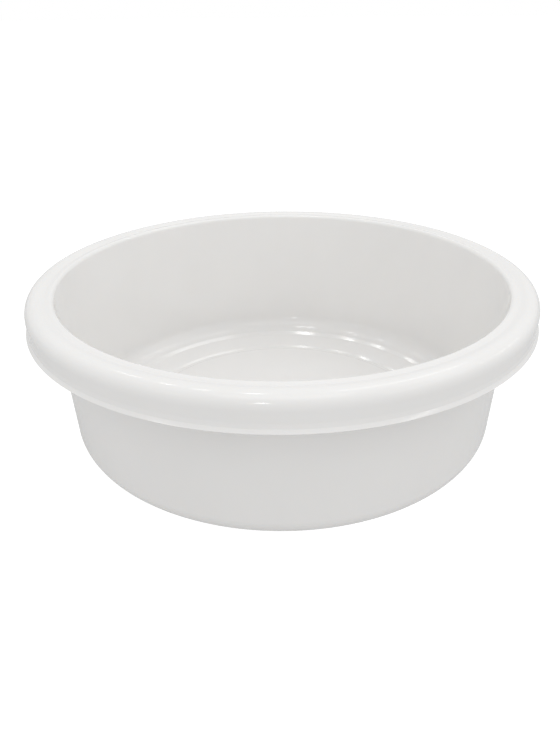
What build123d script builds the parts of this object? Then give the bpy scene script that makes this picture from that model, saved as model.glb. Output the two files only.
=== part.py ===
from build123d import *
import math
import os

# Sizes in millimetres. The origin is the centre of the ring that the bowl stands on, +Z up.

# One wall thickness runs through the whole moulding
wall = 2.0

# Wall: its inner face at the rim's height, how far it leans out, and the corner at its foot
rim_height = 120.0
mouth_radius = 159.5
draft = 2.7
corner_radius = 15.0

# Foot ring, a narrow trough that the bowl stands on, with a sloping step on each side of it
foot_inset = 37.0
foot_width = 4.7
step_slope = 40.0

# Floor on each side of the foot ring: the panel inside it, and the band that rises to the corner
panel_rise = 2.0
band_step_rise = 1.2
band_slope = 17.5

# Rim, seen in section: a small inner bead, a shallow valley, then the wide rounded crown
bead_rise = 1.3
bead_radius = 2.6
valley_run = 6.0
valley_rise = 0.8
crown_slope = 14.0
crown_share = 0.563

# Skirt hanging from the crown, drawn in to a neck above a flared lip
rim_reach = 20.2
neck_inset = 1.5
neck_drop = 14.5
lip_flare = 2.0
lip_drop = 19.5

# Cut-off stub under the floor, where the plastic entered the mould
gate_radius = 2.5
gate_length = 1.2

# How far a piece that is fused on reaches into the wall
bite = wall / 2

# A rounding is a radius and the number of flats that stand in for its arc, or a true arc
true_arc = 0
corner_flat_count = 5
bead_flat_count = 2
hidden_flat_count = 1
sharp = (0, true_arc)


def degrees_tan(angle):
    return math.tan(math.radians(angle))


def wall_radius(height):
    """Radius of the wall's inner face at a height, as if it ran straight to the rim."""
    return mouth_radius - (rim_height - height) * degrees_tan(draft)


def floor_corners():
    """Sharp corners of the floor, from the axis to the foot of the wall.

    Each has its point on the seen face, then its rounding there and on the hidden face.
    """
    foot_radius = mouth_radius - foot_inset
    trough_start = foot_radius - foot_width
    trough_end = foot_radius - wall * degrees_tan(step_slope / 2)
    panel_edge = trough_start - panel_rise / degrees_tan(step_slope)
    band_start = trough_end + band_step_rise / degrees_tan(step_slope)
    band_height = wall + band_step_rise
    run = wall_radius(band_height) - band_start
    rise = run * degrees_tan(band_slope) / (1 - degrees_tan(band_slope) * degrees_tan(draft))
    corner = (wall_radius(band_height + rise), band_height + rise)
    return [
        ((0, wall + panel_rise), sharp, sharp),
        ((panel_edge, wall + panel_rise), sharp, sharp),
        ((trough_start, wall), sharp, sharp),
        ((trough_end, wall), sharp, sharp),
        ((band_start, band_height), sharp, sharp),
        (corner, (corner_radius, corner_flat_count), (corner_radius + wall, corner_flat_count)),
    ]


def rim_corners():
    """Corners of the rim in the same way: bead, valley, crown, neck and lip."""
    bead_height = rim_height + bead_rise
    valley_radius, valley_height = mouth_radius + valley_run, rim_height + valley_rise
    skirt_radius = mouth_radius + rim_reach
    neck_radius = skirt_radius - neck_inset
    crown_width = skirt_radius - valley_radius
    crown_height = valley_height + crown_width * degrees_tan(crown_slope)
    crown_radius = crown_width * crown_share
    crown = (skirt_radius, crown_height)
    lip = (neck_radius + lip_flare, rim_height - lip_drop)
    return [
        ((wall_radius(bead_height), bead_height), (bead_radius, bead_flat_count), sharp),
        ((valley_radius, valley_height), sharp, sharp),
        (crown, (crown_radius, true_arc), (crown_radius - wall, hidden_flat_count)),
        ((neck_radius, rim_height - neck_drop), sharp, sharp),
        (lip, sharp, sharp),
    ]


def hidden_points(seen_points):
    """Corners of the hidden face, one wall thickness below and outside the seen one."""
    seen = Polyline(*seen_points)
    hidden = offset(seen, wall, kind=Kind.INTERSECTION, side=Side.RIGHT, closed=False)
    edges = hidden.edges().sort_by(seen)
    return [edge @ 0 for edge in edges] + [edges[-1] @ 1]


def section_corners():
    """Every corner round the closed section, out along the seen face and back along the hidden."""
    seen, over, under = zip(*floor_corners(), *rim_corners())
    hidden = hidden_points(seen)
    return [*zip(seen, over), *zip(hidden[::-1], under[::-1])]


def flats_round(before, corner, after, radius, flats):
    """Points that cut a corner to a number of flats, all touching an arc of the radius."""
    into, away = (corner - before).normalized(), (after - corner).normalized()
    turn = into.get_angle(away)
    side = math.copysign(1, into.cross(away).Z)
    start = corner - into * radius * degrees_tan(turn / 2)
    centre = start + into.rotate(Axis.Z, side * 90) * radius
    step = turn / (flats + 1)
    spoke = (start - centre) / math.cos(math.radians(step / 2))
    return [centre + spoke.rotate(Axis.Z, side * step * (flat + 0.5)) for flat in range(flats + 1)]


def moulding_section():
    """Face of the section, with its main corners rounded and its small ones cut to flats."""
    corners = [(Vector(place), rounding) for place, rounding in section_corners()]
    points, radii = [], []
    for index, (corner, (radius, flats)) in enumerate(corners):
        before, after = corners[index - 1][0], corners[(index + 1) % len(corners)][0]
        cut = flats_round(before, corner, after, radius, flats) if flats else [corner]
        points += cut
        radii += [0 if flats else radius] * len(cut)
    return make_face(FilletPolyline(*points, radius=radii, close=True))


def gate_stub():
    """Short stub under the middle of the floor."""
    stub = Cylinder(gate_radius, gate_length + bite, align=(Align.CENTER, Align.CENTER, Align.MIN))
    return Pos(0, 0, panel_rise - gate_length) * stub


def bowl():
    shell = revolve(Plane.XZ * moulding_section(), axis=Axis.Z)
    return shell + gate_stub()


if __name__ == "__main__":
    os.makedirs("parts", exist_ok=True)
    export_step(bowl(), "parts/bowl.step")
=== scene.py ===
import math

import bmesh
import bpy
from mathutils import Euler, Matrix, Vector


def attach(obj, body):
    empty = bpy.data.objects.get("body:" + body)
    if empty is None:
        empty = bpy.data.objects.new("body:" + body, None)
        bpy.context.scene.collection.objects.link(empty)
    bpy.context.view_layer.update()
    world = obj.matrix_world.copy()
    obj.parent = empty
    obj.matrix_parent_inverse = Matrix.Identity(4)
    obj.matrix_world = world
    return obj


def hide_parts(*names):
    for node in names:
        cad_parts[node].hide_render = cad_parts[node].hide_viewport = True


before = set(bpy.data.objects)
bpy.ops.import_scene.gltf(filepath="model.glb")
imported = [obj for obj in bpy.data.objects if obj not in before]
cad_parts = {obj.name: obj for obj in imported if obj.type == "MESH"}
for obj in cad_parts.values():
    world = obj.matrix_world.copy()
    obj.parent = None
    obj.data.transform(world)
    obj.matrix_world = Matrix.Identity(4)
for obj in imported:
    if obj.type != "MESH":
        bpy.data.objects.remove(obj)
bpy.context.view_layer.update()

# Lengths are in metres, and slopes and the draft in degrees
MM = 0.001

# One wall thickness runs through the whole moulding, as in the solid
WALL = 2.0 * MM

# Foot ring, a narrow trough, with the raised panel inside it and the step up to the band
FOOT_RADIUS = 122.5 * MM
FOOT_WIDTH = 4.7 * MM
STEP_SLOPE = 40.0
PANEL_RISE = 2.0 * MM
PANEL_EDGE_ROUND = 1.6 * MM
TROUGH_ROUND = 1.2 * MM
BAND_STEP_RISE = 1.4 * MM
BAND_STEP_SLOPE = 33.0
BAND_EDGE_ROUND = 2.0 * MM

# Band that rises to the corner, with a low ridge on it where the corner begins
BAND_SLOPE = 16.5
RIDGE_START = 139.0 * MM
RIDGE_END = 142.2 * MM
RIDGE_SLOPE = 34.5
RIDGE_ROUND = 2.0 * MM
CORNER_ROUND = 13.5 * MM

# Wall, and its inner face at the rim's height
RIM_HEIGHT = 120.0 * MM
MOUTH_RADIUS = 159.5 * MM
DRAFT = 2.7

# Top of the rim: a small inner bead, a shallow valley and the wide rounded crown
BEAD_RISE = 1.3 * MM
BEAD_ROUND = 2.6 * MM
VALLEY_RUN = 6.0 * MM
VALLEY_RISE = 0.5 * MM
VALLEY_ROUND = 4.0 * MM
CROWN_SLOPE = 15.2
CROWN_ROUND = 8.4 * MM

# Skirt hanging from the crown, drawn in to a neck, then a short lip that flares out
SKIRT_RADIUS = 179.7 * MM
NECK_RADIUS = 178.2 * MM
NECK_DROP = 14.5 * MM
NECK_ROUND = 6.0 * MM
LIP_START_RADIUS = 178.5 * MM
LIP_START_DROP = 17.4 * MM
LIP_START_ROUND = 0.6 * MM
LIP_RADIUS = 180.14 * MM
LIP_DROP = 19.5 * MM
LIP_EDGE_ROUND = 0.4 * MM
LIP_EDGE_FACETS = 4

# Cut-off stub under the floor, and how far it reaches into the wall
GATE_RADIUS = 2.5 * MM
GATE_LENGTH = 1.2 * MM
GATE_BITE = 1.0 * MM
GATE_SIDES = 48
GATE_EDGE_ROUND = 0.3 * MM
GATE_EDGE_FACETS = 3

# Faces round the axis, how finely a rounding follows its arc, and what counts as a sharp edge
TURNS = 288
ARC_STEP = math.radians(6)
FEWEST_ARC_FACETS = 2
SHARP_EDGE = math.radians(60)
SAME_PLACE = 0.01 * MM

# Noises of the plastic: scale per metre and detail
FLOW_NOISE = (14, 3)
HANDLING_NOISE = (40, 2)
SAG_NOISE = (24, 1)
GRAIN_NOISE = (900, 2)
NOISE_LOW, NOISE_HIGH = 0.3, 0.7

# White plastic: its two shades, its range of roughness, bumps as depth and strength, and
# the light that sinks in a little before it comes out again
DARKER_WHITE = (0.865, 0.857, 0.845)
LIGHTER_WHITE = (0.885, 0.877, 0.865)
SMOOTHEST, ROUGHEST = 0.10, 0.14
SAG_BUMP = (0.3 * MM, 0.5)
GRAIN_BUMP = (0.01 * MM, 0.3)
PLASTIC_IOR = 1.49
SUBSURFACE_WEIGHT = 0.15
SUBSURFACE_RADIUS = (1.0, 0.9, 0.8)
SUBSURFACE_SCALE = 3 * MM

# Studio: floor, its glow on the bowl and for the camera, the sky, and where the lamps point
WHITE = (1, 1, 1, 1)
STAGE_RADIUS = 60
STAGE_SIDES = 64
STAGE_GREY = (0.30, 0.30, 0.30, 1)
FLOOR_GLOW = 0.37
FLOOR_SEEN = 0.88
SKY_STRENGTH = 0.775
LAMP_AIM = 0.1

# Lamps: name, bearing and height angle in degrees, distance, width and height in metres, watts
LAMPS = [
    ("key", -8, 18, 2.0, 0.12, 0.12, 1.2),
    ("overhead", 0, 62, 1.6, 1.2, 0.9, 2.5),
    ("ceiling_spot", -131, 82, 1.5, 0.08, 0.08, 0.6),
    ("right_window", 78, 26, 2.0, 2.8, 0.08, 2.4),
    ("left_front_strip", -45, 24, 2.0, 0.5, 0.06, 0.35),
    ("right_high", 90, 45, 2.0, 1.0, 0.8, 1.0),
    ("back_right", 131, 60, 1.7, 0.16, 0.90, 1.6),
    ("back_left_high", -123, 70, 1.7, 0.08, 0.08, 0.35),
    ("back_left_middle", -130, 61, 1.7, 0.08, 0.08, 0.35),
    ("back_left_low", -139, 49, 1.7, 0.08, 0.08, 0.3),
]

# Camera: place in metres, angles in degrees, frame height and lens in millimetres
CAMERA_PLACE = (0, -0.4614, 0.2870)
CAMERA_PITCH = 28.164
CAMERA_YAW = 0.232
CAMERA_ROLL = -0.572
CAMERA_FRAME = 36
CAMERA_LENS = 32.29
NEAREST_SEEN = 0.01


def slope(angle):
    """Rise for a run of one, at an angle in degrees."""
    return math.tan(math.radians(angle))


def wall_radius(height):
    """Radius of the wall's inner face at a height, as if it ran straight to the rim."""
    return MOUTH_RADIUS - (RIM_HEIGHT - height) * slope(DRAFT)


def floor_corners():
    """Corners and roundings of the inner face from the middle of the floor to the wall."""
    trough_start = FOOT_RADIUS - FOOT_WIDTH
    trough_end = FOOT_RADIUS - WALL * slope(STEP_SLOPE / 2)
    panel_edge = trough_start - PANEL_RISE / slope(STEP_SLOPE)
    band_start = trough_end + BAND_STEP_RISE / slope(BAND_STEP_SLOPE)
    band_height = WALL + BAND_STEP_RISE
    ridge_foot = band_height + (RIDGE_START - band_start) * slope(BAND_SLOPE)
    ridge_top = ridge_foot + (RIDGE_END - RIDGE_START) * slope(RIDGE_SLOPE)
    run = wall_radius(band_height) - band_start
    rise = run * slope(BAND_SLOPE) / (1 - slope(BAND_SLOPE) * slope(DRAFT))
    corner_height = band_height + rise
    return [
        ((0, WALL + PANEL_RISE), 0),
        ((panel_edge, WALL + PANEL_RISE), PANEL_EDGE_ROUND),
        ((trough_start, WALL), TROUGH_ROUND),
        ((trough_end, WALL), TROUGH_ROUND),
        ((band_start, band_height), BAND_EDGE_ROUND),
        ((RIDGE_START, ridge_foot), RIDGE_ROUND),
        ((RIDGE_END, ridge_top), RIDGE_ROUND),
        ((wall_radius(corner_height), corner_height), CORNER_ROUND),
    ]


def rim_corners():
    """Corners and roundings of the rim's top and of the skirt that hangs from it."""
    bead_height = RIM_HEIGHT + BEAD_RISE
    valley_radius = MOUTH_RADIUS + VALLEY_RUN
    valley_height = RIM_HEIGHT + VALLEY_RISE
    crown_height = valley_height + (SKIRT_RADIUS - valley_radius) * slope(CROWN_SLOPE)
    return [
        ((wall_radius(bead_height), bead_height), BEAD_ROUND),
        ((valley_radius, valley_height), VALLEY_ROUND),
        ((SKIRT_RADIUS, crown_height), CROWN_ROUND),
        ((NECK_RADIUS, RIM_HEIGHT - NECK_DROP), NECK_ROUND),
        ((LIP_START_RADIUS, RIM_HEIGHT - LIP_START_DROP), LIP_START_ROUND),
        ((LIP_RADIUS, RIM_HEIGHT - LIP_DROP), 0),
    ]


def round_corner(section, vertex, radius):
    """Replace a corner of the section's wire by an arc of the radius."""
    before, after = [edge.other_vert(vertex).co for edge in vertex.link_edges]
    turn = (vertex.co - before).angle(after - vertex.co)
    bmesh.ops.bevel(
        section, geom=[vertex], affect="VERTICES", offset_type="OFFSET",
        offset=radius * math.tan(turn / 2),
        segments=max(FEWEST_ARC_FACETS, round(turn / ARC_STEP)),
        profile=0.5, material=-1,
    )


def section_wire():
    """The moulding's visible line in section, upright on the XZ plane."""
    section = bmesh.new()
    rounds = {}
    last = None
    for (radius, height), rounding in floor_corners() + rim_corners():
        vertex = section.verts.new((radius, 0, height))
        if last:
            section.edges.new((last, vertex))
        if rounding:
            rounds[vertex] = rounding
        last = vertex
    for vertex, rounding in rounds.items():
        round_corner(section, vertex, rounding)
    return section


def finished_object(mesh_maker, name):
    """A smooth-shaded object in the scene, made from a mesh that is complete."""
    mesh = bpy.data.meshes.new(name)
    mesh_maker.to_mesh(mesh)
    mesh_maker.free()
    mesh.shade_smooth()
    piece = bpy.data.objects.new(name, mesh)
    bpy.context.scene.collection.objects.link(piece)
    return piece


def bowl_shell():
    """The section turned round the axis, then given its wall and a rounded lip edge."""
    bowl = section_wire()
    bmesh.ops.spin(
        bowl, geom=bowl.verts[:] + bowl.edges[:], cent=(0, 0, 0), axis=(0, 0, 1),
        dvec=(0, 0, 0), angle=math.tau, steps=TURNS, use_merge=True, use_duplicate=False,
    )
    bmesh.ops.remove_doubles(bowl, verts=bowl.verts[:], dist=SAME_PLACE)
    bmesh.ops.recalc_face_normals(bowl, faces=bowl.faces[:])
    if sum(face.normal.z for face in bowl.faces) < 0:
        bmesh.ops.reverse_faces(bowl, faces=bowl.faces[:])
    piece = finished_object(bowl, "bowl_shell")
    wall = piece.modifiers.new("wall", "SOLIDIFY")
    wall.thickness = WALL
    wall.offset = -1
    wall.use_even_offset = True
    edge = piece.modifiers.new("lip_edge", "BEVEL")
    edge.width = LIP_EDGE_ROUND
    edge.segments = LIP_EDGE_FACETS
    edge.limit_method = "ANGLE"
    edge.angle_limit = SHARP_EDGE
    return piece


def gate_stub():
    """Short cut-off stub under the middle of the floor, where the mould was filled."""
    stub = bmesh.new()
    middle = PANEL_RISE + (GATE_BITE - GATE_LENGTH) / 2
    bmesh.ops.create_cone(
        stub, cap_ends=True, segments=GATE_SIDES, radius1=GATE_RADIUS, radius2=GATE_RADIUS,
        depth=GATE_LENGTH + GATE_BITE, matrix=Matrix.Translation((0, 0, middle)),
    )
    rims = [edge for edge in stub.edges if edge.calc_face_angle() > SHARP_EDGE]
    bmesh.ops.bevel(
        stub, geom=rims, affect="EDGES", offset=GATE_EDGE_ROUND, segments=GATE_EDGE_FACETS,
        profile=0.5, material=-1,
    )
    return finished_object(stub, "gate_stub")


class Nodes:
    """Short way to add and join the nodes of one tree."""

    def __init__(self, tree):
        self.tree = tree

    def add(self, kind, **settings):
        node = self.tree.nodes.new(kind)
        for name, value in settings.items():
            setattr(node, name, value)
        return node

    def join(self, source, target):
        self.tree.links.new(source, target)

    def noise(self, place, scale, detail):
        node = self.add("ShaderNodeTexNoise")
        node.inputs["Scale"].default_value = scale
        node.inputs["Detail"].default_value = detail
        self.join(place, node.inputs["Vector"])
        return node.outputs["Fac"]

    def spread(self, value, low, high):
        """A noise value, which keeps to the middle of 0 to 1, spread over a range."""
        node = self.add("ShaderNodeMapRange")
        node.inputs["From Min"].default_value = NOISE_LOW
        node.inputs["From Max"].default_value = NOISE_HIGH
        node.inputs["To Min"].default_value = low
        node.inputs["To Max"].default_value = high
        self.join(value, node.inputs["Value"])
        return node.outputs["Result"]

    def blend(self, value, first, second):
        node = self.add("ShaderNodeMix", data_type="RGBA")
        node.inputs["A"].default_value = (*first, 1)
        node.inputs["B"].default_value = (*second, 1)
        self.join(value, node.inputs["Factor"])
        return node.outputs["Result"]

    def bump(self, height, depth, strength):
        node = self.add("ShaderNodeBump")
        node.inputs["Distance"].default_value = depth
        node.inputs["Strength"].default_value = strength
        self.join(height, node.inputs["Height"])
        return node


def glossy_white_plastic():
    """White moulded plastic: a soft gloss, faint flow shades and a slightly wavy skin."""
    material = bpy.data.materials.new("glossy_white_plastic")
    material.use_nodes = True
    tree = material.node_tree
    shader = tree.nodes["Principled BSDF"]
    nodes = Nodes(tree)
    place = nodes.add("ShaderNodeTexCoord").outputs["Object"]

    flow = nodes.spread(nodes.noise(place, *FLOW_NOISE), 0, 1)
    nodes.join(nodes.blend(flow, DARKER_WHITE, LIGHTER_WHITE), shader.inputs["Base Color"])

    handling = nodes.spread(nodes.noise(place, *HANDLING_NOISE), SMOOTHEST, ROUGHEST)
    nodes.join(handling, shader.inputs["Roughness"])

    sag = nodes.bump(nodes.noise(place, *SAG_NOISE), *SAG_BUMP)
    grain = nodes.bump(nodes.noise(place, *GRAIN_NOISE), *GRAIN_BUMP)
    nodes.join(sag.outputs["Normal"], grain.inputs["Normal"])
    nodes.join(grain.outputs["Normal"], shader.inputs["Normal"])

    shader.inputs["IOR"].default_value = PLASTIC_IOR
    shader.inputs["Subsurface Weight"].default_value = SUBSURFACE_WEIGHT
    shader.inputs["Subsurface Radius"].default_value = SUBSURFACE_RADIUS
    shader.inputs["Subsurface Scale"].default_value = SUBSURFACE_SCALE
    return material


def pale_floor():
    """White floor with a faint shadow for the camera, and a dimmer glow on the bowl."""
    ground = bmesh.new()
    bmesh.ops.create_circle(ground, cap_ends=True, segments=STAGE_SIDES, radius=STAGE_RADIUS)
    floor = finished_object(ground, "floor")
    material = bpy.data.materials.new("pale_floor")
    material.use_nodes = True
    nodes = Nodes(material.node_tree)
    shader = material.node_tree.nodes["Principled BSDF"]
    shader.inputs["Base Color"].default_value = STAGE_GREY
    shader.inputs["Roughness"].default_value = 1
    shader.inputs["Specular IOR Level"].default_value = 0
    shader.inputs["Emission Color"].default_value = WHITE
    seen = nodes.add("ShaderNodeLightPath").outputs["Is Camera Ray"]
    glow = nodes.add("ShaderNodeMapRange")
    glow.inputs["To Min"].default_value = FLOOR_GLOW
    glow.inputs["To Max"].default_value = FLOOR_SEEN
    nodes.join(seen, glow.inputs["Value"])
    nodes.join(glow.outputs["Result"], shader.inputs["Emission Strength"])
    floor.data.materials.append(material)


def soft_sky():
    """Even white light from all sides, with a plain white backdrop for the camera."""
    world = bpy.data.worlds.new("studio")
    bpy.context.scene.world = world
    world.use_nodes = True
    world.node_tree.nodes.clear()
    nodes = Nodes(world.node_tree)
    seen = nodes.add("ShaderNodeLightPath").outputs["Is Camera Ray"]
    light = nodes.add("ShaderNodeBackground")
    light.inputs["Color"].default_value = WHITE
    light.inputs["Strength"].default_value = SKY_STRENGTH
    backdrop = nodes.add("ShaderNodeBackground")
    backdrop.inputs["Color"].default_value = WHITE
    choice = nodes.add("ShaderNodeMixShader")
    nodes.join(seen, choice.inputs[0])
    nodes.join(light.outputs[0], choice.inputs[1])
    nodes.join(backdrop.outputs[0], choice.inputs[2])
    nodes.join(choice.outputs[0], nodes.add("ShaderNodeOutputWorld").inputs["Surface"])


def softbox(name, bearing, height_angle, distance, width, height, power):
    """Soft lamp that faces the bowl, at a bearing from the camera's side towards the right."""
    lamp = bpy.data.lights.new(name, "AREA")
    lamp.shape = "RECTANGLE"
    lamp.size = width
    lamp.size_y = height
    lamp.energy = power
    box = bpy.data.objects.new(name, lamp)
    turn, tilt = math.radians(bearing), math.radians(height_angle)
    ahead = Vector((math.sin(turn), -math.cos(turn), 0))
    away = ahead * math.cos(tilt) + Vector((0, 0, math.sin(tilt)))
    box.location = Vector((0, 0, LAMP_AIM)) + away * distance
    box.rotation_euler = (-away).to_track_quat("-Z", "Y").to_euler()
    bpy.context.scene.collection.objects.link(box)


def camera():
    """Stands close in front of the bowl and looks down into it."""
    data = bpy.data.cameras.new("camera")
    data.sensor_fit = "VERTICAL"
    data.sensor_height = CAMERA_FRAME
    data.lens = CAMERA_LENS
    data.clip_start = NEAREST_SEEN
    view = bpy.data.objects.new("camera", data)
    view.location = CAMERA_PLACE
    pitch, yaw, roll = map(math.radians, (CAMERA_PITCH, CAMERA_YAW, CAMERA_ROLL))
    level = Euler((math.pi / 2 - pitch, 0, yaw)).to_matrix()
    view.rotation_euler = (level @ Matrix.Rotation(roll, 3, "Z")).to_euler()
    bpy.context.scene.collection.objects.link(view)
    bpy.context.scene.camera = view


def dress():
    """Both finished pieces, in the plastic, in place of the plain solid."""
    finish = glossy_white_plastic()
    for piece in (bowl_shell(), gate_stub()):
        piece.data.materials.append(finish)
        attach(piece, "root")
        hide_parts("bowl")


def studio():
    """Floor, sky and lamps."""
    bpy.context.scene.view_settings.view_transform = "Standard"
    pale_floor()
    soft_sky()
    for lamp in LAMPS:
        softbox(*lamp)


dress()
studio()
camera()
